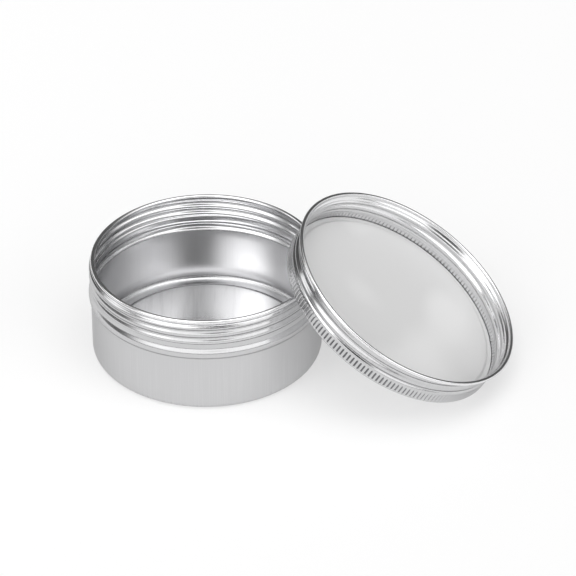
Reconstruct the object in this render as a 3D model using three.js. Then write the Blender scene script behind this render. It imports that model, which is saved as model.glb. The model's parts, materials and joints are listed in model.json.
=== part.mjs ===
// Screw-top aluminium tin, shown open: the pot stands on its foot, and the lid leans on the rim, mouth up.
// Millimetres, +Z up, the floor at z = 0. The origin is on the floor, under the middle of the whole outline.
// Each shell is drawn from one sheet, so its bead, thread, knurl and curl are forms in the same thin wall.
import * as THREE from "three";

// Sheet and screw thread, the same on both shells
const sheet = 0.4; // thickness of the aluminium
const threadPitch = 2.85; // climb of the single right-hand thread in one turn
const threadClearance = 0.35; // between the pot's thread and the inside of the lid's skirt

// Pot
const potRadius = 38.75; // outside of the straight wall
const potHeight = 35.0; // floor to the top of the rim
const footCornerRadius = 2.3; // outside radius between wall and foot
const basePanelRadius = 32.6; // raised middle of the base
const basePanelRise = 0.75; // underside of the panel above the floor
const basePanelSlope = 2.2; // width of the step from the panel down to the foot
const basePanelDome = 1.0; // middle of the panel above its edge
const beadProud = 0.7; // how far the bead stands out from the wall
const beadUnder = 1.5; // height in which the wall swells out to the bead's crest
const beadCrest = 0.7; // height of the crest
const beadDrawIn = 2.3; // height in which the crest draws in to the neck
const neckPlain = 1.3; // plain neck between the bead and the thread
const threadProud = 0.4; // how far the thread's crest stands out from the wall
const potThreadDepth = 0.6; // crest to root
const potThreadTurns = 2.0; // turns at full depth
const potThreadStart = -42.6; // degrees from +X, where the thread leaves the bead
const shoulderHeight = 1.97; // end of the thread to the top of the rim
const shoulderRise = 0.42; // height in which the neck draws in to the rim
const rimRadius = 38.6; // outside of the rim's curl
const rimCurl = 0.77; // outside radius of the curl's own tube

// Lid, with heights from its closed face
const lidCornerRadius = 0.8; // outside radius between closed face and skirt
const knurlRibs = 172; // ribs around the grip band
const knurlDepth = 0.35; // groove between two ribs
const knurlStart = 0.9; // lower end of the ribs
const knurlHeight = 3.3; // length of the ribs with their sloped ends
const knurlRunOut = 0.5; // length of one sloped end
const knurlToThread = 0.2; // smooth band between ribs and thread
const lidThreadDepth = 0.5; // how far the thread is pressed in
const lidThreadTurns = 1.5; // turns at full depth
const lidThreadStart = 0.0; // degrees from the low side of the leaning lid
const mouthRadius = 41.6; // outside of the mouth's curl
const mouthCurl = 0.67; // outside radius of the curl's own tube
const mouthFlareRise = 1.1; // height in which the skirt widens to the mouth
const mouthToBead = 0.7; // between the closed mouth and the bead's upper edge

// Liner
const linerThickness = 2.0;
const linerGap = 0.15; // to the lid, under the disc and around it
const linerEdge = 0.3; // chamfer of the cut edge

// How the open lid leans on the pot
const leanAngle = 31.6; // degrees between closed face and floor
const leanTowards = -12.0; // degrees from +X, the way the lid slopes down
const leanSideways = 2.2; // offset of the lid from the pot's axis, across the slope
const restGap = 0.2; // left open where the lid would touch the rim

// Fineness
const slices = 48; // straight sides in a full turn
const rowsPerPitch = 4; // rows of points across one turn of thread
const curlRoll = 290; // degrees that the sheet's edge is rolled

// Sizes that follow
const fullTurn = 2 * Math.PI;
const radians = THREE.MathUtils.degToRad;
const threadBand = (turns) => threadPitch * (turns + 0.5); // thread with its run-in and run-out
const threadRadius = potRadius + threadProud;
const neckRadius = threadRadius - potThreadDepth;
const neckHeight = neckPlain + threadBand(potThreadTurns) + shoulderHeight;
const beadTop = potHeight - neckHeight;
const crestTop = beadTop - beadDrawIn;
const crestFoot = crestTop - beadCrest;
const beadBottom = crestFoot - beadUnder;
const potThreadFoot = beadTop + neckPlain;
const lidRadius = threadRadius + threadClearance + sheet;
const linerTop = sheet + linerGap + linerThickness;
const linerRadius = lidRadius - knurlDepth - sheet - linerGap;
const lidHeight = linerTop + neckHeight - mouthToBead;
const knurlEnd = knurlStart + knurlHeight;
const lidThreadFoot = knurlEnd + knurlToThread;

const polar = (radius, angle, height) =>
  new THREE.Vector3(radius * Math.cos(angle), radius * Math.sin(angle), height);

// A sheet's middle line, as points (radius, height), moved half a sheet to its outer side, which is to the
// right of the way the line runs (side 1), or to its inner side (side -1). Corners keep the full thickness.
function skinLine(line, side) {
  const normal = (from, to) => new THREE.Vector2(to.y - from.y, from.x - to.x).normalize();
  const last = line.length - 1;
  return line.map((point, i) => {
    const before = normal(line[Math.max(i - 1, 0)], line[Math.max(i, 1)]);
    const after = normal(line[Math.min(i, last - 1)], line[Math.min(i + 1, last)]);
    const middle = before.clone().add(after).normalize();
    return point.clone().addScaledVector(middle, (side * sheet) / 2 / middle.dot(after));
  });
}

// Rows of points are closed rings, or a single point on the axis.
function ringRow(radius, height, count = slices, wave = () => 0) {
  if (radius < sheet / 2) return [polar(0, 0, height)];
  return Array.from({ length: count + 1 }, (_, i) =>
    polar(radius + wave(i), (fullTurn * i) / count, height),
  );
}

const ringRows = (line) => line.map((point) => ringRow(point.x, point.y));

// Rows that wind up a screw thread. Each row climbs one pitch in a turn, so its end is the start of the row
// one pitch higher. Rows wait on the lower edge of the band and stop on its upper edge, where the thread
// fades out. The thread starts at +X, and its depth is a wave across each pitch.
function threadRows(radius, foot, turns, depth) {
  const height = threadBand(turns);
  const fade = threadPitch / 4;
  const place = (row, slice) => {
    const climb = threadPitch * (row / rowsPerPitch + slice / slices - 1);
    const z = THREE.MathUtils.clamp(climb, 0, height);
    const share = Math.min(1, z / fade, (height - z) / fade);
    const wave = (1 - Math.cos((fullTurn * row) / rowsPerPitch)) / 2;
    const r = radius + depth * share * wave;
    return polar(r, (fullTurn * slice) / slices, foot + z);
  };
  const rows = Math.ceil(rowsPerPitch * (height / threadPitch + 1));
  return Array.from({ length: rows + 1 }, (_, row) =>
    Array.from({ length: slices + 1 }, (_, slice) => place(row, slice)),
  );
}


// One closed skin through all the rows, in order. Neighbouring rows may have different counts of points, and
// points of different rows that meet are one corner, so faces that have closed up to nothing are left out.
function loft(rows) {
  const corners = new Map();
  const positions = [];
  const faces = [];
  const cornerOf = (point) => {
    const key = point.toArray().map((value) => Math.round(value * 1e4)).join();
    if (!corners.has(key)) {
      corners.set(key, corners.size);
      positions.push(...point);
    }
    return corners.get(key);
  };
  const addFace = (a, b, c) => {
    if (a !== b && b !== c && c !== a) faces.push(a, b, c);
  };
  rows.slice(1).forEach((row, i) => {
    const low = rows[i].map(cornerOf);
    const high = row.map(cornerOf);
    let a = 0;
    let b = 0;
    while (a < low.length - 1 || b < high.length - 1) {
      const lowNext = low.length > 1 ? (a + 1) / (low.length - 1) : Infinity;
      const highNext = high.length > 1 ? (b + 1) / (high.length - 1) : Infinity;
      if (lowNext <= highNext) {
        addFace(low[a], low[a + 1], high[b]);
        a += 1;
      } else {
        addFace(low[a], high[b + 1], high[b]);
        b += 1;
      }
    }
  });
  return new THREE.BufferGeometry()
    .setAttribute("position", new THREE.Float32BufferAttribute(positions, 3))
    .setIndex(faces);
}

// The sheet from the end of the thread band up to its edge, which is rolled outwards into a curl.
function curlPath(bandRadius, bandTop, curlRadius, tube, top, rise) {
  const wall = curlRadius - 2 * tube + sheet / 2;
  const path = new THREE.Path();
  path.moveTo(bandRadius - sheet / 2, bandTop);
  path.lineTo(wall, bandTop + rise);
  path.lineTo(wall, top - tube);
  path.absarc(curlRadius - tube, top - tube, tube - sheet / 2, Math.PI, Math.PI - radians(curlRoll), true);
  return path;
}

// Both skins of the rolled edge, outer skin first. The thread band's rows take the place of the first point.
function curlRows(path) {
  const outer = skinLine(path.getPoints(2), 1).slice(1);
  const inner = skinLine(path.getPoints(4), -1).slice(1);
  return [...ringRows(outer), ...ringRows(inner).reverse()];
}

// Pot: base panel, foot, corner, wall and bead along the sheet's middle line, then thread and curl.
function potGeometry() {
  const half = sheet / 2;
  const wall = potRadius - half;
  const corner = footCornerRadius - half;
  const footInside = basePanelRadius + basePanelSlope;
  const middleOfStep = basePanelRadius + basePanelSlope / 2;
  const panel = basePanelRise + half;
  const crest = potRadius + beadProud - half;
  const neck = neckRadius - half;
  const underMiddle = beadBottom + beadUnder / 2;
  const drawInMiddle = crestTop + beadDrawIn / 2;
  const path = new THREE.Path();
  path.moveTo(0, panel + basePanelDome);
  path.quadraticCurveTo(basePanelRadius / 2, panel + basePanelDome, basePanelRadius, panel);
  path.bezierCurveTo(middleOfStep, panel, middleOfStep, half, footInside, half);
  path.lineTo(potRadius - footCornerRadius, half);
  path.absarc(potRadius - footCornerRadius, footCornerRadius, corner, -Math.PI / 2, 0);
  path.lineTo(wall, beadBottom);
  path.bezierCurveTo(wall, underMiddle, crest, underMiddle, crest, crestFoot);
  path.lineTo(crest, crestTop);
  path.bezierCurveTo(crest, drawInMiddle, neck, drawInMiddle, neck, beadTop);
  path.lineTo(neck, potThreadFoot);
  const line = path.getPoints(2);
  const threadTop = potThreadFoot + threadBand(potThreadTurns);
  const band = (radius) => threadRows(radius, potThreadFoot, potThreadTurns, potThreadDepth);
  return loft([
    ...ringRows(skinLine(line, 1).slice(0, -1)),
    ...band(neckRadius),
    ...curlRows(curlPath(neckRadius, threadTop, rimRadius, rimCurl, potHeight, shoulderRise)),
    ...band(neckRadius - sheet).reverse(),
    ...ringRows(skinLine(line, -1).slice(0, -1)).reverse(),
  ]).rotateZ(radians(potThreadStart));
}

// Lid: closed face, corner and knurled grip, then thread and curl. Its frame has the closed face at z = 0.
function lidGeometry() {
  const half = sheet / 2;
  const corner = lidCornerRadius - half;
  const path = new THREE.Path();
  path.moveTo(0, half);
  path.lineTo(lidRadius - lidCornerRadius, half);
  path.absarc(lidRadius - lidCornerRadius, lidCornerRadius, corner, -Math.PI / 2, 0);
  path.lineTo(lidRadius - half, knurlStart);
  const line = path.getPoints(1);
  const rib = (i) => -knurlDepth * (i % 2);
  const grip = (radius) => [
    ringRow(radius, knurlStart + knurlRunOut, 2 * knurlRibs, rib),
    ringRow(radius, knurlEnd - knurlRunOut, 2 * knurlRibs, rib),
    ringRow(radius, knurlEnd),
  ];
  const threadTop = lidThreadFoot + threadBand(lidThreadTurns);
  const band = (radius) => threadRows(radius, lidThreadFoot, lidThreadTurns, -lidThreadDepth);
  return loft([
    ...ringRows(skinLine(line, 1)),
    ...grip(lidRadius),
    ...band(lidRadius),
    ...curlRows(curlPath(lidRadius, threadTop, mouthRadius, mouthCurl, lidHeight, mouthFlareRise)),
    ...band(lidRadius - sheet).reverse(),
    ...grip(lidRadius - sheet).reverse(),
    ...ringRows(skinLine(line, -1)).reverse(),
  ]).rotateZ(radians(lidThreadStart));
}

// Liner: a flat disc with its cut edge eased, in the lid's frame.
function linerGeometry() {
  const bottom = linerTop - linerThickness;
  const profile = [
    [0, bottom],
    [linerRadius - linerEdge, bottom],
    [linerRadius, bottom + linerEdge],
    [linerRadius, linerTop - linerEdge],
    [linerRadius - linerEdge, linerTop],
    [0, linerTop],
  ].map(([radius, height]) => new THREE.Vector2(radius, height));
  return new THREE.LatheGeometry(profile, slices).rotateX(Math.PI / 2);
}

// Where the lid's closed face has its centre: its low edge is on the floor and its face lies on the rim.
function leanPlace() {
  const tilt = radians(leanAngle);
  const lowEdge = (lidRadius - lidCornerRadius) * Math.sin(tilt) - lidCornerRadius * Math.cos(tilt);
  const height = lowEdge + lidCornerRadius;
  const rimReach = (rimRadius - rimCurl) * Math.sin(tilt) + (potHeight - rimCurl) * Math.cos(tilt) + rimCurl;
  const away = (rimReach + restGap - height * Math.cos(tilt)) / Math.sin(tilt);
  return new THREE.Vector3(away, leanSideways, height).applyAxisAngle(
    new THREE.Vector3(0, 0, 1),
    radians(leanTowards),
  );
}

const drawnAluminium = new THREE.MeshStandardMaterial({ color: 0xcfcfd1, metalness: 1, roughness: 0.28 });
const paleFoam = new THREE.MeshStandardMaterial({ color: 0xe2e2e2, metalness: 0, roughness: 0.7 });

function piece(name, geometry, material) {
  geometry.computeVertexNormals();
  const mesh = new THREE.Mesh(geometry, material);
  mesh.name = name;
  return mesh;
}

const openLid = new THREE.Group();
openLid.add(piece("lid", lidGeometry(), drawnAluminium));
openLid.add(piece("liner", linerGeometry(), paleFoam));
openLid.rotation.set(0, radians(leanAngle), radians(leanTowards), "ZYX");
openLid.position.copy(leanPlace());

const standing = new THREE.Group();
standing.add(piece("pot", potGeometry(), drawnAluminium));
standing.add(openLid);
const middle = new THREE.Box3().setFromObject(standing, true).getCenter(new THREE.Vector3());
standing.position.set(-middle.x, -middle.y, 0);

const tin = new THREE.Group();
tin.name = "screw_top_tin";
tin.add(standing);

export default tin;
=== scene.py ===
# %% [markdown]
# # An open screw-top aluminium tin
# A pot and a lid, each drawn from one thin sheet of aluminium, and a foam disc that lies loose in the
# lid. Everything that catches the light is a form of the sheet itself: the rolled rim, the screw
# thread, the bead that stops the lid and the knurl that the fingers grip. So the lesson is mostly about
# one idea, a profile carried round an axis, and about giving bare metal something good to reflect.

# %% Load the fixed frame
import json

import bpy
import numpy as np
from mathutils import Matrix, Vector


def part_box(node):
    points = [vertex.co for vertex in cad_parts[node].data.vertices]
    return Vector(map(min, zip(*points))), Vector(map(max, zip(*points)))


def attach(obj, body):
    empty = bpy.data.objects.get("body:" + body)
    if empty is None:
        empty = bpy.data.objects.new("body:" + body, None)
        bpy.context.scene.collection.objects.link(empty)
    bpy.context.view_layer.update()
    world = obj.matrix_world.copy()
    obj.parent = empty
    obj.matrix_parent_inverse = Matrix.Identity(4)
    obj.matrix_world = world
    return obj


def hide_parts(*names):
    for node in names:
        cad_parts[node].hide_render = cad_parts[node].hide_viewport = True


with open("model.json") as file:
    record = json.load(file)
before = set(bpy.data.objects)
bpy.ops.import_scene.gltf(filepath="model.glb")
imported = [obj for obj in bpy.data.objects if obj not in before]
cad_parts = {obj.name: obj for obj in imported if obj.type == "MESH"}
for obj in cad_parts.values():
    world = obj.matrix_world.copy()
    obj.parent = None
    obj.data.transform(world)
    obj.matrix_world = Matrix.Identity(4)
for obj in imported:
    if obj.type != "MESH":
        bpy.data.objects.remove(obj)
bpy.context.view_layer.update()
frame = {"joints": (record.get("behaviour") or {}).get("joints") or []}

MM = 0.001  # in metres: shapes are written in millimetres, and Blender works in metres

# %% [markdown]
# ## Where the two shells stand
# The frame already holds the place of every solid, so nothing is fitted by eye. The pot's axis is the
# middle of its box. The lid leans, and the axis of the joint that turns it is its own axis: the joint's
# point is the middle of its closed face, and the way down the slope gives the lid a direction to count
# angles from.

# %% Axes of pot and lid
UP = np.array([0.0, 0.0, 1.0])
ON_FLOOR = np.array([1.0, 1.0, 0.0])  # keeps x and y of a point, and puts it on the floor

pot_middle = np.mean(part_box("pot"), axis=0) * ON_FLOOR
lid_turn = next(joint for joint in frame["joints"] if joint["name"] == "lid_turn")
lid_up = np.array(lid_turn["axis"]) / np.linalg.norm(lid_turn["axis"])
lid_down_slope = lid_up * lid_up[2] - UP
lid_down_slope /= np.linalg.norm(lid_down_slope)
lid_across = np.cross(lid_up, lid_down_slope)

pot_place = (pot_middle, np.eye(3))
lid_place = (np.array(lid_turn["pos_m"]), np.stack([lid_down_slope, lid_across, lid_up]))
print("lid leans", round(float(np.degrees(np.arccos(lid_up[2]))), 1), "degrees")

# %% [markdown]
# ## A shell from the middle line of its sheet
# A drawn shell could be a solid of revolution with a Solidify modifier, but thread and knurl aren't
# round, and the curl would pinch. Here the middle of the sheet is a grid of radius and height, one row
# for each step along the profile and one column for each angle. Half a sheet to either side along the
# profile's normal gives both skins, and one closed surface runs over the outside, round the edge of the
# sheet and back along the inside.

# %% Pieces of a profile
SHEET = 0.4  # thickness of the aluminium, mm
HALF = SHEET / 2
RADIUS, HEIGHT = 0, 1  # the two coordinates of a profile point
BELOW, OUTER, ABOVE, INNER = -90, 0, 90, 180  # sides of a circle in the profile, in degrees


def straight(start, end, steps):
    """Points (radius, height) in equal steps from start to end."""
    return np.linspace(start, end, steps + 1)


def arc(centre, radius, from_degrees, to_degrees, steps):
    """Points of a circle: centre + radius times (cosine, sine) of an angle that goes in equal steps."""
    angle = np.radians(np.linspace(from_degrees, to_degrees, steps + 1))
    return np.asarray(centre) + radius * np.stack([np.cos(angle), np.sin(angle)], axis=1)


def smooth_step(t):
    """3t² - 2t³: as t goes from 0 to 1 so does this, and it is level at both ends."""
    return t * t * (3 - 2 * t)


def ease(start, end, level, steps):
    """An S-curve from start to end: the coordinate `level` goes in equal steps and the other one by
    their smooth step, so the line leaves and arrives with no turn in it."""
    t = np.linspace(0, 1, steps + 1)[:, None]
    share = np.where(np.arange(2) == level, t, smooth_step(t))
    return np.asarray(start) + share * (np.asarray(end) - np.asarray(start))


def joined(*pieces):
    """One line through all the pieces, each without its last point, which is the next one's first."""
    return np.concatenate([piece[:-1] for piece in pieces[:-1]] + [pieces[-1]])


print("after a quarter of its way an S-curve has made", smooth_step(0.25), "of its step")


# %% Skins of the sheet
def skins(radius, height, half=HALF):
    """Both faces of a sheet whose middle is the grid radius, height. The normal is the step along the
    profile turned by a right angle, (dz, -dr) over its length; half a sheet along it is the outside,
    and against it the inside. The inside follows in reverse, so the rows run in one loop from axis to
    axis."""
    dr = np.gradient(radius, axis=0)
    dz = np.gradient(height, axis=0)
    share = half / np.hypot(dr, dz)
    outside = (radius + share * dz, height - share * dr)
    inside = (radius - share * dz, height + share * dr)
    return [np.concatenate([out, back[::-1]]) for out, back in zip(outside, inside)]


print("sheet of", SHEET, "mm, skins", HALF, "mm to either side of its middle")


# %% [markdown]
# ## From grid to mesh
# The grid's rows run from axis to axis, so the first and the last row are one point each, a pole, and
# the surface is closed. A loop over faces would be slow, so corners, faces and UV map are whole arrays
# too. The UV map is in millimetres, round the piece and along its profile, so that a finish can follow
# the way the sheet was drawn.

# %% Faces of a closed grid
def grid_faces(rows, columns):
    """Corner numbers and corner counts of all faces. A quad goes from each point to the next one in its
    row and to the two in the row after. The two poles are numbered last, and a fan of triangles joins
    each of them to the ring beside it."""
    row, column = np.meshgrid(np.arange(rows - 3), np.arange(columns), indexing="ij")
    after = (column + 1) % columns
    low, high = row * columns, (row + 1) * columns
    quads = np.stack([low + column, low + after, high + after, high + column], axis=-1)
    ring = np.arange(columns)
    after = (ring + 1) % columns
    last_ring = (rows - 3) * columns
    first_pole = np.full(columns, (rows - 2) * columns)
    first_fan = np.stack([first_pole, after, ring], axis=1)
    last_fan = np.stack([last_ring + ring, last_ring + after, first_pole + 1], axis=1)
    corners = np.concatenate([quads.ravel(), first_fan.ravel(), last_fan.ravel()])
    counts = np.repeat([4, 3], [row.size, 2 * columns])
    return corners.astype(np.int32), counts.astype(np.int32)


print("a grid of 5 by 8 has", len(grid_faces(5, 8)[1]), "faces")

# %% UV map in millimetres
UV_MAP = "millimetres"


def grid_uv(radius, height, angle):
    """UV of every face corner: the largest radius times the angle, and the sum of the profile's steps
    so far, each as long as the root of dr² + dz²."""
    steps = np.hypot(np.diff(radius[:, 0]), np.diff(height[:, 0]))
    along = np.concatenate([[0], np.cumsum(steps)])
    around = radius.max() * np.append(angle, 2 * np.pi)
    under, left = np.meshgrid(along[1:-2], around[:-1], indexing="ij")
    over, right = np.meshgrid(along[2:-1], around[1:], indexing="ij")
    quads = np.stack([left, under, right, under, right, over, left, over], axis=-1)
    left, right = around[:-1], around[1:]
    first, second, last_but_one, last = (np.full(len(angle), at) for at in along[[0, 1, -2, -1]])
    first_fan = np.stack([left, first, right, second, left, second], axis=1)
    last_fan = np.stack([left, last_but_one, right, last_but_one, left, last], axis=1)
    return np.concatenate([quads.ravel(), first_fan.ravel(), last_fan.ravel()])


print("UV map in", UV_MAP, "round each piece and along its profile")

# %% [markdown]
# ## Marks of the making
# Every step of the work leaves its own mark on the metal. Painting them would need an image, but here
# each one follows from the shape, so four values from 0 to 1 go along with the points. `drawn` is how
# steeply the sheet stands, 1 on a wall that went through the die. `rolled` is 1 where wheels have
# rolled a form into it. `inside` is the side that lay on the punch. The fourth is painted shade: as
# deep as a tooth of the knurling wheel has bitten, and a set share in the tight bends of the pot's
# foot.
# Edges along a bite stay sharp, and everything else is smooth.

# %% Values on the points and sharp edges
ROLLED_FADE = 1.0  # mm over which the burnish of the wheels begins


def making_marks(radius, height, rolled_from, painted_shade):
    """The four values on the grid: the share of dz in a step of the profile; the height above
    rolled_from over the fade, held between 0 and 1; 1 in the second half of the rows; and the
    painted shade as it is given, which on the lid follows the knurl's bite."""
    dr, dz = np.gradient(radius[:, 0]), np.gradient(height[:, 0])
    rows = np.arange(len(radius))
    marks = {
        "drawn": np.abs(dz) / np.hypot(dr, dz),
        "rolled": np.clip((height[:, 0] - rolled_from) / ROLLED_FADE, 0, 1),
        "inside": rows >= len(rows) / 2,
    }
    grids = {mark: np.broadcast_to(value[:, None], radius.shape) for mark, value in marks.items()}
    return {**grids, "painted_shade": painted_shade}


def rib_edges(mesh, painted_shade):
    """Whether each edge is the edge of a rib: both its ends are in one column, where their numbers
    leave the same remainder, and in rows where the bite isn't the same all round."""
    columns = painted_shade.shape[1]
    uneven = (painted_shade != painted_shade[:, :1]).any(axis=1)
    on_rib = np.append(np.repeat(uneven[1:-1], columns), [False, False])
    ends = np.empty(2 * len(mesh.edges), dtype=np.int32)
    mesh.edges.foreach_get("vertices", ends)
    ends = ends.reshape(-1, 2)
    one_column = ends[:, 0] % columns == ends[:, 1] % columns
    return one_column & on_rib[ends].all(axis=1)


print("the burnish of the wheels begins over", ROLLED_FADE, "mm")


# %% Closed mesh from rows
def turned_mesh(name, radius, height, angle, place, rolled_from, painted_shade=0.0):
    """A closed mesh: x, y = radius times (cosine, sine) of the angle and z = height, in the axes of
    place."""
    grid = np.stack([radius * np.cos(angle), radius * np.sin(angle), height], axis=-1)[1:-1]
    poles = np.array([[0, 0, height[0].mean()], [0, 0, height[-1].mean()]])
    middle, axes = place
    points = middle + np.concatenate([grid.reshape(-1, 3), poles]) * MM @ axes
    corners, counts = grid_faces(*radius.shape)
    painted_shade = np.broadcast_to(painted_shade, radius.shape)

    mesh = bpy.data.meshes.new(name)
    mesh.vertices.add(len(points))
    mesh.vertices.foreach_set("co", points.ravel())
    mesh.loops.add(len(corners))
    mesh.loops.foreach_set("vertex_index", corners)
    mesh.polygons.add(len(counts))
    mesh.polygons.foreach_set("loop_start", np.cumsum(counts, dtype=np.int32) - counts)
    mesh.uv_layers.new(name=UV_MAP).uv.foreach_set("vector", grid_uv(radius, height, angle))
    for mark, value in making_marks(radius, height, rolled_from, painted_shade).items():
        per_point = np.append(value[1:-1].ravel(), value[[0, -1], 0]).astype(float)
        mesh.attributes.new(mark, "FLOAT", "POINT").data.foreach_set("value", per_point)
    mesh.update(calc_edges=True)
    mesh.validate()
    mesh.shade_smooth()
    sharp = rib_edges(mesh, painted_shade)
    mesh.attributes.new("sharp_edge", "BOOLEAN", "EDGE").data.foreach_set("value", sharp)
    piece = bpy.data.objects.new(name, mesh)
    bpy.context.scene.collection.objects.link(piece)
    print(name, len(points), "points,", int(np.sum(counts - 2)), "triangles")
    return piece


# %% Columns round the axis
def round_grid(line, columns):
    """A profile carried round unchanged: radius and height with the same value in every column."""
    return np.repeat(line[:, :1], columns, axis=1), np.repeat(line[:, 1:], columns, axis=1)


def angles(columns):
    """Equal angles round a full turn, one for each column."""
    return np.linspace(0, 2 * np.pi, columns, endpoint=False)


print("four columns stand at", np.degrees(angles(4)).tolist(), "degrees")

# %% [markdown]
# ## The rolled thread
# Thread rolling presses a helix into the sheet between two wheels, so the wall waves in and out on both
# faces. A helical tube could be joined on, but it would sit on the wall instead of being part of it. On
# the grid the thread is one formula: the wave's phase grows with height over pitch and falls with the
# angle, which makes a right-hand thread. Over a quarter of a pitch at each end the wave fades, as the
# wheels run out.

# %% Thread formula
THREAD_PITCH = 2.85  # mm of climb in one turn
THREAD_RUN_OUT = 0.25  # of a pitch, at each end


def thread_band(turns):
    """Height of a thread: the pitch times its turns and both run-outs."""
    return THREAD_PITCH * (turns + 2 * THREAD_RUN_OUT)


def thread_wave(height, angle, start_degrees, turns):
    """Depth from 0 to 1: (1 - cosine)/2 of the phase height/pitch - angle/turn, which has equal crests
    and roots. It fades at both ends of the band by a smooth step, and is 0 outside it."""
    phase = 2 * np.pi * height / THREAD_PITCH - (angle - np.radians(start_degrees)) % (2 * np.pi)
    to_end = np.minimum(height, thread_band(turns) - height) / (THREAD_RUN_OUT * THREAD_PITCH)
    return (1 - np.cos(phase)) / 2 * smooth_step(np.clip(to_end, 0, 1))


print("one turn of thread takes", thread_band(1), "mm with its run-outs")

# %% [markdown]
# ## Curled edges
# Both shells end in a curl: the trimmed edge is rolled outwards nearly all the way round, so that no
# cut edge meets the finger and the thin mouth is stiff. A solid ring would look alike from outside, but
# the curl belongs to the sheet, so in the profile it is an arc of more than three quarters of a turn.

# %% Curl
CURL_ROLL = 290  # degrees


def curl(outer_radius, tube, top, steps):
    """The rolled edge: a circle round the middle of the curl, from its inner side over the top."""
    return arc([outer_radius - tube, top - tube], tube - HALF, INNER, INNER - CURL_ROLL, steps)


print("a curl goes", round(CURL_ROLL / 360, 2), "of the way round")

# %% [markdown]
# ## Pot
# The profile starts under the middle of the base: a panel that stands a little above the floor, the
# step down to the foot, the corner, the straight wall and the bead that stops the lid. The bead is
# fullest low down and draws in gently to the neck, which is why it shows one broad highlight. Above it
# the neck carries two turns of thread, draws in once more and ends in the rim. Each height could be
# written down by itself, but a chain from the rim down keeps the lid's fit when one of them changes.

# %% Sizes of the pot
POT_RADIUS = 38.75  # mm, as all sizes of pot, lid and liner
POT_HEIGHT = 35.0
FOOT_CORNER = 2.3
BASE_PANEL_RADIUS = 32.6
BASE_PANEL_RISE = 0.75
BASE_PANEL_SLOPE = 2.2
BASE_PANEL_DOME = 1.0  # middle of the panel above its edge
BEAD_PROUD = 0.7
BEAD_UNDER = 1.5
BEAD_CREST = 0.7
BEAD_DRAW_IN = 2.3
NECK_PLAIN = 1.3
POT_THREAD_PROUD = 0.4
POT_THREAD_DEPTH = 0.6
POT_THREAD_TURNS = 2.0
SHOULDER_HEIGHT = 1.97
SHOULDER_RISE = 0.42
RIM_RADIUS = 38.6
RIM_CURL = 0.77

panel_height = BASE_PANEL_RISE + HALF
foot_inside = BASE_PANEL_RADIUS + BASE_PANEL_SLOPE
foot_outside = POT_RADIUS - FOOT_CORNER
pot_wall = POT_RADIUS - HALF
pot_neck = POT_RADIUS + POT_THREAD_PROUD - POT_THREAD_DEPTH - HALF
thread_top = POT_HEIGHT - SHOULDER_HEIGHT
shoulder_top = thread_top + SHOULDER_RISE
thread_foot = thread_top - thread_band(POT_THREAD_TURNS)
bead_top = thread_foot - NECK_PLAIN
crest_top = bead_top - BEAD_DRAW_IN
crest_foot = crest_top - BEAD_CREST
bead_bottom = crest_foot - BEAD_UNDER
bead_crest = pot_wall + BEAD_PROUD
rim_wall = RIM_RADIUS - 2 * RIM_CURL + HALF
print("bead from", round(bead_bottom, 2), "to", round(bead_top, 2), "mm, thread to", thread_top, "mm")

# %% Profile of the pot
base_panel = straight([0, panel_height], [BASE_PANEL_RADIUS, panel_height], steps=12)
base_panel[:, HEIGHT] += BASE_PANEL_DOME * (1 - (base_panel[:, RADIUS] / BASE_PANEL_RADIUS) ** 2)
pot_line = joined(
    base_panel,
    ease([BASE_PANEL_RADIUS, panel_height], [foot_inside, HALF], RADIUS, steps=10),
    straight([foot_inside, HALF], [foot_outside, HALF], steps=2),
    arc([foot_outside, FOOT_CORNER], FOOT_CORNER - HALF, BELOW, OUTER, steps=10),
    straight([pot_wall, FOOT_CORNER], [pot_wall, bead_bottom], steps=6),
    ease([pot_wall, bead_bottom], [bead_crest, crest_foot], HEIGHT, steps=8),
    straight([bead_crest, crest_foot], [bead_crest, crest_top], steps=2),
    ease([bead_crest, crest_top], [pot_neck, bead_top], HEIGHT, steps=12),
    straight([pot_neck, bead_top], [pot_neck, thread_foot], steps=3),
    straight([pot_neck, thread_foot], [pot_neck, thread_top], steps=60),
    straight([pot_neck, thread_top], [rim_wall, shoulder_top], steps=3),
    straight([rim_wall, shoulder_top], [rim_wall, POT_HEIGHT - RIM_CURL], steps=3),
    curl(RIM_RADIUS, RIM_CURL, POT_HEIGHT, steps=26),
)
print("pot profile of", len(pot_line), "points")

# %% [markdown]
# The thread pushes the neck's columns outwards, each by its own share of the wave. Inside, shade is
# painted into the tight bends of the foot, round the edge of the base panel, so their colour is a
# little darker than the rest.

# %% Pot with its thread
POT_COLUMNS = 300
POT_THREAD_START = -42.6  # degrees from +X
# Painted shade: how much of the shade tone the tight bends of the foot get inside.
BEND_SHADE = 0.55  # share of the dull tone that the tight bends of the foot get inside

pot_angle = angles(POT_COLUMNS)
pot_radii, pot_heights = round_grid(pot_line, POT_COLUMNS)
above_foot = pot_heights - thread_foot
pot_wave = thread_wave(above_foot, pot_angle, POT_THREAD_START, POT_THREAD_TURNS)
pot_radii += POT_THREAD_DEPTH * pot_wave
pot_skins = skins(pot_radii, pot_heights)
in_bend = (pot_line[:, RADIUS] > BASE_PANEL_RADIUS) & (pot_line[:, HEIGHT] <= FOOT_CORNER)
bend_shade = BEND_SHADE * np.concatenate([np.zeros(len(pot_line)), in_bend[::-1]])[:, None]
pot = turned_mesh("drawn_pot", *pot_skins, pot_angle, pot_place, bead_bottom, bend_shade)

# %% [markdown]
# ## Lid
# The same idea in the lid's own axes, with the closed face at the bottom. Two things break its
# roundness: the thread, which is the pot's wave pressed inwards, and the knurl, a narrow band of ribs
# next to the closed face. The lid's sizes follow from the pot's: a clearance round the thread, the rim
# seated on the liner, and the mouth just above the bead.

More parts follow.
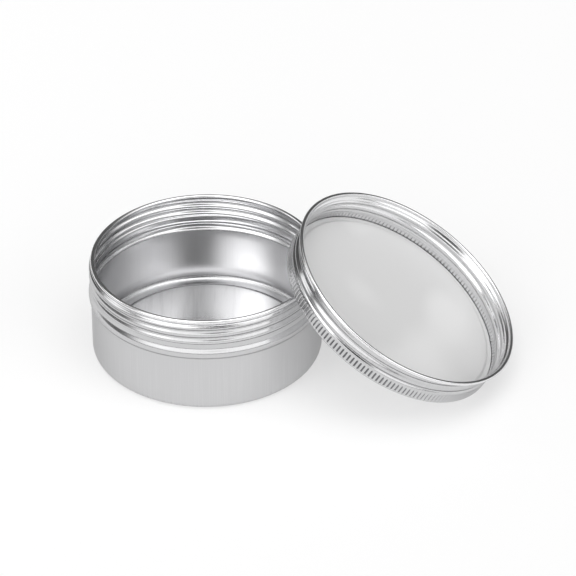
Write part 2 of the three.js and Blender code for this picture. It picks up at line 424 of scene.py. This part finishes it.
# %% Sizes of the lid
THREAD_CLEARANCE = 0.35
LID_CORNER = 0.8
KNURL_START = 0.55
KNURL_HEIGHT = 3.65
KNURL_TO_THREAD = 0.2
LID_THREAD_TURNS = 1.5
MOUTH_RADIUS = 41.6
MOUTH_CURL = 0.67
MOUTH_FLARE_RISE = 1.1
MOUTH_TO_BEAD = 0.7
LINER_GAP = 0.15
LINER_THICKNESS = 2.0

liner_top = SHEET + LINER_GAP + LINER_THICKNESS
lid_height = liner_top + POT_HEIGHT - bead_top - MOUTH_TO_BEAD
lid_radius = POT_RADIUS + POT_THREAD_PROUD + THREAD_CLEARANCE + SHEET
lid_wall = lid_radius - HALF
lid_face = lid_radius - LID_CORNER
knurl_end = KNURL_START + KNURL_HEIGHT
lid_thread_foot = knurl_end + KNURL_TO_THREAD
lid_thread_top = lid_thread_foot + thread_band(LID_THREAD_TURNS)
mouth_wall = MOUTH_RADIUS - 2 * MOUTH_CURL + HALF
mouth_foot = lid_thread_top + MOUTH_FLARE_RISE
print("lid", round(lid_height, 2), "mm high,", round(2 * lid_radius, 2), "mm across its wall")

# %% Profile of the lid
lid_line = joined(
    straight([0, HALF], [lid_face, HALF], steps=3),
    arc([lid_face, LID_CORNER], LID_CORNER - HALF, BELOW, OUTER, steps=7),
    straight([lid_wall, LID_CORNER], [lid_wall, knurl_end], steps=12),
    straight([lid_wall, knurl_end], [lid_wall, lid_thread_foot], steps=1),
    straight([lid_wall, lid_thread_foot], [lid_wall, lid_thread_top], steps=48),
    ease([lid_wall, lid_thread_top], [mouth_wall, mouth_foot], HEIGHT, steps=6),
    straight([mouth_wall, mouth_foot], [mouth_wall, lid_height - MOUTH_CURL], steps=1),
    curl(MOUTH_RADIUS, MOUTH_CURL, lid_height, steps=16),
)
print("lid profile of", len(lid_line), "points")

# %% [markdown]
# The knurling wheel bites a V between two ribs. Bump would give the ribs a light and a dark side but no
# outline, so they are real: three columns make one rib, the bottom of the V and its two edges. The
# wheels also squeeze the sheet, so less of the bite shows inside, and the sheet is thinner there.
# Shade is also painted into the bottom of each V, less of it inside than outside.

# %% Lid with its thread and knurl
LID_THREAD_START = 0.0  # degrees from the low side
LID_THREAD_DEPTH = 0.5
KNURL_RIBS = 172
KNURL_DEPTH, KNURL_DEPTH_INSIDE = 0.5, 0.28
# Painted shade: the next share is how much of a groove's painted shade shows inside.
INSIDE_SHARE = 0.7  # how much of the bite's dull tone shows inside
KNURL_RUN_IN, KNURL_RUN_OUT = 0.4, 1.0  # length of a groove's ends, at the face and at the thread
RIB_COLUMNS = np.array([0.0, 0.23, 0.77])  # of one rib's width: the groove and the two edges of the rib

rib_number = np.arange(KNURL_RIBS)[:, None]
lid_angle = 2 * np.pi * ((rib_number + RIB_COLUMNS) / KNURL_RIBS).ravel()
groove = np.tile(RIB_COLUMNS == 0, KNURL_RIBS)
lid_radii, lid_heights = round_grid(lid_line, len(lid_angle))
above_foot = lid_heights - lid_thread_foot
lid_wave = thread_wave(above_foot, lid_angle, LID_THREAD_START, LID_THREAD_TURNS)
run_in = (lid_heights - KNURL_START) / KNURL_RUN_IN
run_out = (knurl_end - lid_heights) / KNURL_RUN_OUT
bite = np.clip(np.minimum(run_in, run_out), 0, 1) * groove
lid_radii -= LID_THREAD_DEPTH * lid_wave
lid_radii -= (KNURL_DEPTH + KNURL_DEPTH_INSIDE) / 2 * bite
lid_half = HALF - (KNURL_DEPTH - KNURL_DEPTH_INSIDE) / 2 * bite
lid_skins = skins(lid_radii, lid_heights, lid_half)
bite_shade = np.concatenate([bite, INSIDE_SHARE * bite[::-1]])
lid = turned_mesh("drawn_lid", *lid_skins, lid_angle, lid_place, 0, bite_shade)

# %% [markdown]
# ## Foam liner
# A disc punched from a sheet of closed-cell foam. It lies loose on the lid's closed face, so it keeps a
# little gap all round, and the punch leaves its edge slightly rounded. Every closing of the tin presses
# the pot's rim into it, which leaves its margin a little lower. A cloth simulation could press the
# margin, but such foam hardly moves, so one profile from axis to axis is enough.

# %% Liner shape
LINER_ROUND = 0.08  # radius of the punched edge
LINER_TO_RIBS = 0.03  # clear of the ribs inside the lid
RING_FROM, RING_SLOPE, RING_DEPTH = 36.6, 1.2, 0.6  # margin that the pot's rim has pressed lower
LINER_COLUMNS = 256

liner_radius = lid_radius - SHEET - KNURL_DEPTH_INSIDE - LINER_TO_RIBS
liner_bottom = liner_top - LINER_THICKNESS
liner_edge = liner_radius - LINER_ROUND
low_round = liner_bottom + LINER_ROUND
ring_top = liner_top - RING_DEPTH
high_round = ring_top - LINER_ROUND
ring_inside = RING_FROM + RING_SLOPE
liner_line = joined(
    straight([0, liner_bottom], [liner_edge, liner_bottom], steps=12),
    arc([liner_edge, low_round], LINER_ROUND, BELOW, OUTER, steps=5),
    straight([liner_radius, low_round], [liner_radius, high_round], steps=2),
    arc([liner_edge, high_round], LINER_ROUND, OUTER, ABOVE, steps=5),
    straight([liner_edge, ring_top], [ring_inside, ring_top], steps=2),
    ease([ring_inside, ring_top], [RING_FROM, liner_top], RADIUS, steps=8),
    straight([RING_FROM, liner_top], [0, liner_top], steps=12),
)
liner_grid = round_grid(liner_line, LINER_COLUMNS)
liner = turned_mesh("foam_liner", *liner_grid, angles(LINER_COLUMNS), lid_place, liner_top)

# %% [markdown]
# ## Each piece on its body
# The new surfaces stand for the plain solids, which stay behind for collision, and ride on the same
# bodies.

# %% Ride and replace
for piece, node, slot_name in (
    (pot, "pot", "drawn_aluminium"),
    (lid, "lid", "drawn_aluminium"),
    (liner, "liner", "foam_liner"),
):
    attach(piece, node)
    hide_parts(node)


# %% [markdown]
# ## Helpers for finishes
# Colours are written as sRGB hex, the way a picture shows them, and Blender's sockets want linear
# light. One small function adds a node, sets its values and links it, so a finish reads from top to
# bottom.

# %% Colour and node helpers
def linear(hex_colour):
    """sRGB hex to linear light: c/12.92 up to 0.04045, else ((c + 0.055)/1.055) to the power 2.4."""
    c = np.array([int(hex_colour[i : i + 2], 16) for i in (1, 3, 5)]) / 255
    return (*np.where(c <= 0.04045, c / 12.92, ((c + 0.055) / 1.055) ** 2.4), 1.0)


def add_node(tree, kind, settings=None, **inputs):
    """Adds a node, sets its own settings, and fills its sockets with values or links. A socket is
    called by its name with _ for each space, or by its number after a _. A node as a value stands for
    its first output that is in use."""
    node = tree.nodes.new(kind)
    for name, value in (settings or {}).items():
        setattr(node, name, value)
    in_use = {socket.name: socket for socket in reversed(node.inputs) if socket.enabled}
    for name, value in inputs.items():
        socket = node.inputs[int(name[1:])] if name[0] == "_" else in_use[name.replace("_", " ")]
        if isinstance(value, bpy.types.Node):
            value = next(output for output in value.outputs if output.enabled)
        if isinstance(value, bpy.types.NodeSocket):
            tree.links.new(value, socket)
        else:
            socket.default_value = value
    return node


def new_finish(name):
    """An empty material and its node tree."""
    finish = bpy.data.materials.new(name)
    finish.use_nodes = True
    finish.node_tree.nodes.clear()
    return finish, finish.node_tree


print("half of white, #808080, is", round(linear("#808080")[0], 3), "in linear light")

# %% [markdown]
# ## Drawn aluminium
# Bare aluminium with no lacquer. The sheet comes from the rolling mill with a straight grain, and the
# flat faces keep it. On the walls the die has wiped it into fine lines along the draw. Both could be an
# image, but two stretched noises say the same: one in the object's own axes for the mill grain, one in
# the UV map for the draw lines, and the value `drawn` chooses between them.

# %% Grain of the sheet
# The real lines are finer: both are drawn as coarse as they need to be to show in a picture of the tin.
DRAW_LINE, DRAW_LENGTH = 0.3, 30.0  # mm, across and along the draw
MILL_LINE, MILL_LENGTH = 0.9, 60.0  # mm, across and along the mill's grain
GRAIN_DETAIL = 2.0  # finer lines between the lines, as octaves of the noise
NOISE_LOW, NOISE_HIGH = 0.3, 0.7  # nearly all of a noise lies between these

aluminium, tree = new_finish("drawn_aluminium_satin")
drawn, rolled, inside, painted_shade = (
    add_node(tree, "ShaderNodeAttribute", {"attribute_name": mark}).outputs["Fac"]
    for mark in ("drawn", "rolled", "inside", "painted_shade")
)
uv = add_node(tree, "ShaderNodeUVMap", {"uv_map": UV_MAP})
line_scale = (1 / DRAW_LINE, 1 / DRAW_LENGTH, 1)
lines = add_node(tree, "ShaderNodeMapping", Vector=uv, Scale=line_scale)
draw_lines = add_node(tree, "ShaderNodeTexNoise", Vector=lines, Scale=1.0, Detail=GRAIN_DETAIL)
place = add_node(tree, "ShaderNodeTexCoord").outputs["Object"]
sheet_scale = (1 / (MILL_LINE * MM), 1 / (MILL_LENGTH * MM), 1 / (MILL_LINE * MM))
sheet = add_node(tree, "ShaderNodeMapping", Vector=place, Scale=sheet_scale)
mill_grain = add_node(tree, "ShaderNodeTexNoise", Vector=sheet, Scale=1.0, Detail=GRAIN_DETAIL)
grain = add_node(tree, "ShaderNodeMix", Factor=drawn, A=mill_grain, B=draw_lines)
streak = add_node(
    tree, "ShaderNodeMapRange", Value=grain, From_Min=NOISE_LOW, From_Max=NOISE_HIGH,
    To_Min=-1.0, To_Max=1.0,
)
print("draw lines", DRAW_LINE, "mm apart, mill grain", MILL_LINE, "mm apart")

# %% [markdown]
# The grain is polished in lines, duller ones between brighter ones, so a highlight on it has a soft,
# slightly streaked edge. The wheels that roll thread and curl burnish the metal on top of that. Deep
# bump would say brushed steel, so roughness carries nearly all of it, and the relief only makes the
# reflection shimmer.

# %% Polish and relief
MILL_ROUGH, DRAWN_ROUGH, ROLLED_ROUGH = 0.2, 0.29, 0.18  # flat sheet, drawn wall, rolled thread
LINE_SPREAD = 0.016  # how much duller and brighter the lines are
RELIEF, RELIEF_DEPTH = 0.0008, 0.02  # strength, and depth in mm

burnish = add_node(tree, "ShaderNodeMapRange", Value=rolled, To_Min=DRAWN_ROUGH, To_Max=ROLLED_ROUGH)
dull = add_node(tree, "ShaderNodeMapRange", Value=drawn, To_Min=MILL_ROUGH, To_Max=burnish)
polish = add_node(
    tree, "ShaderNodeMath", {"operation": "MULTIPLY_ADD"}, _0=streak, _1=LINE_SPREAD, _2=dull
)
relief = add_node(tree, "ShaderNodeBump", Height=grain, Strength=RELIEF, Distance=RELIEF_DEPTH * MM)
print("roughness from", ROLLED_ROUGH, "on the thread to", DRAWN_ROUGH, "on the wall")

# %% [markdown]
# The outside of a wall is painted a shade darker: painted shade, standing in for the shade on the floor
# near the tin, which the wall reflects. The inside and the flat faces are painted brighter: painted
# light, which brightens what the inside of the pot shows. The grain goes a little way from one of these
# tones towards the other. Painted shade, darker still, lies in the bottom of each knurl groove and in
# the tight bends of the pot's foot, and that is what makes each rib stand out.

# %% Tone of the metal
# Painted shade and light: the darker tone goes on the outside of the walls, the brighter one on the
# inside and the flat faces, and the third tone is the shade painted into grooves and bends.
SHADED_METAL, LIT_METAL = "#C9C9CA", "#EDEDEE"
SHADE_TONE = "#ACACAE"
MILL_TONE, DRAWN_TONE = 0.3, 0.1  # how far the grain goes to the other tone, on flat faces and walls
COLOUR = {"data_type": "RGBA"}

flat = add_node(tree, "ShaderNodeMath", {"operation": "SUBTRACT"}, _0=1.0, _1=drawn)
bright = add_node(tree, "ShaderNodeMath", {"operation": "MAXIMUM"}, _0=inside, _1=flat)
spread = add_node(tree, "ShaderNodeMapRange", Value=drawn, To_Min=MILL_TONE, To_Max=DRAWN_TONE)
streaked = add_node(
    tree, "ShaderNodeMath", {"operation": "MULTIPLY_ADD"}, _0=streak, _1=spread, _2=bright
)
tone = add_node(
    tree, "ShaderNodeMix", COLOUR, Factor=streaked, A=linear(SHADED_METAL), B=linear(LIT_METAL)
)
# Painted shade: knurl grooves and foot bends mix towards the third tone.
with_shade = add_node(tree, "ShaderNodeMix", COLOUR, Factor=painted_shade, A=tone, B=linear(SHADE_TONE))
print("tones: outside", SHADED_METAL, "inside", LIT_METAL, "recess_shade", SHADE_TONE)

# %% Aluminium on pot and lid
EDGE_TINT = "#DADADA"
METAL = 1.0

# A light neutral grey that is all reflection. The edge tint keeps the sides of the round wall, where
# metal is seen at a low angle, from going white.
metal = add_node(
    tree, "ShaderNodeBsdfPrincipled", Base_Color=with_shade, Metallic=METAL, Specular_Tint=linear(EDGE_TINT),
    Roughness=polish, Normal=relief,
)
add_node(tree, "ShaderNodeOutputMaterial", Surface=metal)
for piece in (pot, lid):
    piece.data.materials.append(aluminium)
print(aluminium.name, "of", len(tree.nodes), "nodes on", pot.name, "and", lid.name)

# %% [markdown]
# ## Closed-cell foam
# Expanded polyethylene: a pale, faintly waxy skin over fine cells. It scatters nearly all the light,
# with a soft sheen where the skin was pressed smooth. The cells could be real dents, but at their size
# a bump of Voronoi cells is enough. Broad, barely paler patches are painted sheen: a noise that is a
# few centimetres wide lays them into the colour.

# %% Foam finish
FOAM_CELL = 0.7  # mm, the larger cells of such foam; the smaller ones wouldn't show
# The patches of painted sheen: their width, where one begins and where it is full, and the paler tone.
SHEEN_PATCH = 26  # mm
CELL_RELIEF, CELL_DEPTH = 0.05, 0.02  # strength, and depth in mm
PATCH_FROM, PATCH_FULL = 0.5, 0.8  # of the noise: where a patch begins and where it is full
FOAM, FOAM_SHEEN = "#D9D9D9", "#E6E6E6"
FOAM_ROUGH = 0.4  # a pressed skin, so a little smoother than cut foam
SMOOTH = {"interpolation_type": "SMOOTHSTEP"}

foam, tree = new_finish("polyethylene_foam")
place = add_node(tree, "ShaderNodeTexCoord").outputs["Object"]
cell_scale, patch_scale = 1 / (FOAM_CELL * MM), 1 / (SHEEN_PATCH * MM)
cells = add_node(tree, "ShaderNodeTexVoronoi", {"feature": "SMOOTH_F1"}, Vector=place, Scale=cell_scale)
skin = add_node(tree, "ShaderNodeBump", Height=cells, Strength=CELL_RELIEF, Distance=CELL_DEPTH * MM)
patches = add_node(tree, "ShaderNodeTexNoise", Vector=place, Scale=patch_scale, Detail=0.0)
shade = add_node(
    tree, "ShaderNodeMapRange", SMOOTH, Value=patches, From_Min=PATCH_FROM, From_Max=PATCH_FULL
)
# Painted sheen: the patches mix the paler tone into the foam's colour.
pale = add_node(tree, "ShaderNodeMix", COLOUR, Factor=shade, A=linear(FOAM), B=linear(FOAM_SHEEN))
# A soft pale grey with hardly a highlight: the eye reads it as something that gives way to a fingertip.
# The IOR stays at the default of 1.5, which is polyethylene's own.
surface = add_node(tree, "ShaderNodeBsdfPrincipled", Base_Color=pale, Roughness=FOAM_ROUGH, Normal=skin)
add_node(tree, "ShaderNodeOutputMaterial", Surface=surface)
liner.data.materials.append(foam)
print(foam.name, "of", len(tree.nodes), "nodes on", liner.name)

# %% [markdown]
# ## Floor
# Bare metal has no colour of its own to speak of: it shows what stands round it. The lower half of what
# this tin shows is the floor, so the floor is as white to the metal as it is to the camera. More lamps
# could make it white, but they would bleach the tin too. So part of its light is its own, for camera,
# glossy and transmission rays alike, and the rest is lit and keeps the shadow.

# %% Paper floor
FLOOR_RADIUS = 4.0  # m, wide enough for a view from any side
FLOOR_CORNERS = 96
FLOOR_GLOW = 0.5  # share of the white that isn't lit by the lamps
PAPER = "#FAFAFA"
WHITE = (1, 1, 1, 1)
CLAMPED_SUM = {"operation": "ADD", "use_clamp": True}

bpy.ops.mesh.primitive_circle_add(vertices=FLOOR_CORNERS, radius=FLOOR_RADIUS, fill_type="NGON")
floor = bpy.context.object
floor.name = "studio_floor"
paper, tree = new_finish("white_paper_floor")
rays = add_node(tree, "ShaderNodeLightPath").outputs
direct = add_node(
    tree, "ShaderNodeMath", CLAMPED_SUM, _0=rays["Is Camera Ray"], _1=rays["Is Glossy Ray"]
)
seen = add_node(tree, "ShaderNodeMath", CLAMPED_SUM, _0=direct, _1=rays["Is Transmission Ray"])
share = add_node(tree, "ShaderNodeMath", {"operation": "MULTIPLY"}, _0=seen, _1=FLOOR_GLOW)
matt = add_node(tree, "ShaderNodeBsdfDiffuse", Color=linear(PAPER))
glow = add_node(tree, "ShaderNodeEmission", Color=WHITE, Strength=1.0)
both = add_node(tree, "ShaderNodeMixShader", _0=share, _1=matt, _2=glow)
add_node(tree, "ShaderNodeOutputMaterial", Surface=both)
floor.data.materials.append(paper)
print(floor.name, 2 * FLOOR_RADIUS, "m across, with", paper.name)

# %% [markdown]
# ## Room
# In a studio, pale boards stand in front of a tin like this, and the back of the room stays dark. The
# boards give the white flank on each turn of the thread. The dark back, and the dark strip that the
# boards leave above the floor, give the thin lines along rims, bead and thread. Cards and lamps could
# do the same, but a world of smooth steps is quicker to set: from front to back and from low to high.

# %% Boards and the dark back
BOARDS, BACK, FEET = 1.45, 0.1, 0.2  # brightness of the boards, the back and the strip under the boards
BACK_AZIMUTH = 102  # degrees from +X
BOARDS_FROM, BACK_FROM = -0.42, 0.15  # how far back a view goes, as a share of its length
FEET_TO, FEET_EDGE = 7, 4  # degrees above level, and half of the soft edge
DOT = {"operation": "DOT_PRODUCT"}


def toward(azimuth, elevation=0.0):
    """Unit vector of a direction in degrees: the elevation's cosine times (cosine, sine) of the
    azimuth, and the elevation's sine."""
    turn, tilt = np.radians([azimuth, elevation])
    return np.array([np.cos(tilt) * np.cos(turn), np.cos(tilt) * np.sin(turn), np.sin(tilt)])


def rise(elevation):
    """Height of a unit vector that points so many degrees above level: the sine."""
    return np.sin(np.radians(elevation))


room = bpy.data.worlds.new("studio_room")
bpy.context.scene.world = room
room.use_nodes = True
tree = room.node_tree
tree.nodes.clear()
way = add_node(tree, "ShaderNodeTexCoord").outputs["Generated"]
up = add_node(tree, "ShaderNodeSeparateXYZ", Vector=way).outputs["Z"]
back = add_node(tree, "ShaderNodeVectorMath", DOT, _0=way, _1=toward(BACK_AZIMUTH))
boards = add_node(
    tree, "ShaderNodeMapRange", SMOOTH, Value=back, From_Min=BOARDS_FROM, From_Max=BACK_FROM,
    To_Min=BOARDS, To_Max=BACK,
)
low_room = add_node(
    tree, "ShaderNodeMapRange", SMOOTH, Value=up, From_Min=rise(FEET_TO - FEET_EDGE),
    From_Max=rise(FEET_TO + FEET_EDGE), To_Min=FEET, To_Max=boards,
)
print("boards at", BOARDS, "in front, the back at", BACK)

# %% [markdown]
# Over the tin hangs a bright cloth, from the front to straight above, where a dimmer ceiling takes
# over. It lights the inside of the pot. A gap in it, above the camera, makes the dark band down that
# inside.

# %% Cloth, ceiling and gap
CLOTH, CEILING = 2.6, 1.05  # brightness
CLOTH_TO, CLOTH_OFF = 0.0, 0.25  # how far back the cloth reaches, again as a share
LOW_TO, HIGH_FROM = 48, 75  # degrees above level
GAP_AZIMUTH, GAP_ELEVATION, GAP_RADIUS, GAP_EDGE = -79, 46, 18, 4  # degrees
GAP_LEVEL = 0.04  # share of the light that is left in the gap

high_room = add_node(
    tree, "ShaderNodeMapRange", SMOOTH, Value=back, From_Min=CLOTH_TO, From_Max=CLOTH_OFF,
    To_Min=CLOTH, To_Max=CEILING,
)
level = add_node(
    tree, "ShaderNodeMapRange", SMOOTH, Value=up, From_Min=rise(LOW_TO), From_Max=rise(HIGH_FROM),
    To_Min=low_room, To_Max=high_room,
)
near = add_node(tree, "ShaderNodeVectorMath", DOT, _0=way, _1=toward(GAP_AZIMUTH, GAP_ELEVATION))
gap = add_node(
    tree, "ShaderNodeMapRange", SMOOTH, Value=near, From_Min=np.cos(np.radians(GAP_RADIUS + GAP_EDGE)),
    From_Max=np.cos(np.radians(GAP_RADIUS - GAP_EDGE)), To_Min=1.0, To_Max=GAP_LEVEL,
)
strength = add_node(tree, "ShaderNodeMath", {"operation": "MULTIPLY"}, _0=level, _1=gap)
walls = add_node(tree, "ShaderNodeBackground", Color=WHITE, Strength=strength)
add_node(tree, "ShaderNodeOutputWorld", Surface=walls)
print(room.name, "of", len(tree.nodes), "nodes, with a gap", 2 * GAP_RADIUS, "degrees wide")

# %% [markdown]
# ## Softbox and card
# The room lights the tin from all round, so it would stand without a shadow. One large softbox to the
# left of the camera gives it one, and the bright patch on the right of the pot's inside. A lit card
# further to the left wakes up the ends that would otherwise only see the dark back: the threads where
# pot and lid meet, and the two sides of the pot's inside. Their power could be tried out by eye, but
# what counts on bare metal is how bright a lamp's reflection is, so the power follows from that.

# %% Lamps
AIM = Vector((0, 0, 20 * MM))  # middle of the tin, which both lamps face


def softbox(name, azimuth, elevation, distance, width, height, radiance):
    """A rectangular lamp that faces the tin from a direction in degrees, with its sizes in metres. A
    flat lamp shows a radiance of its power over pi times its area, so its power is pi times area times
    radiance."""
    lamp = bpy.data.lights.new(name, "AREA")
    lamp.shape = "RECTANGLE"
    lamp.size = width
    lamp.size_y = height
    lamp.energy = np.pi * width * height * radiance
    holder = bpy.data.objects.new(name, lamp)
    way = Vector(toward(azimuth, elevation))
    holder.location = AIM + distance * way
    holder.rotation_euler = way.to_track_quat("Z", "Y").to_euler()
    bpy.context.scene.collection.objects.link(holder)
    print(name, "at", [round(v, 2) for v in holder.location], "power", round(lamp.energy, 2))


softbox("left_softbox", azimuth=-143, elevation=37, distance=1.2, width=0.6, height=0.6, radiance=0.95)
softbox("left_card", azimuth=171, elevation=30, distance=1.0, width=0.4, height=0.55, radiance=1.45)

# %% [markdown]
# ## Camera
# A long lens from a little above, so that the eye looks into the pot and onto the lid's liner at once.
# A short lens close by would look in as well, but it would swell the near side of the pot.

# %% Camera
CAMERA_FROM_POT = np.array([27.28, -955.18, 671.61])  # mm from the foot of the pot's axis
CAMERA_PITCH = 34.215  # degrees below level
CAMERA_LENS = 215.42  # mm
SENSOR = 36  # mm

camera = bpy.data.objects.new("camera", bpy.data.cameras.new("camera"))
camera.data.lens = CAMERA_LENS
camera.data.sensor_width = SENSOR
camera.location = pot_middle + CAMERA_FROM_POT * MM
camera.rotation_euler = (np.radians(90 - CAMERA_PITCH), 0, 0)
bpy.context.scene.collection.objects.link(camera)
bpy.context.scene.camera = camera
bpy.context.scene.view_settings.view_transform = "Standard"
camera_distance = np.linalg.norm(CAMERA_FROM_POT)
print("camera", int(camera_distance), "mm from the pot, looking down", CAMERA_PITCH, "degrees")
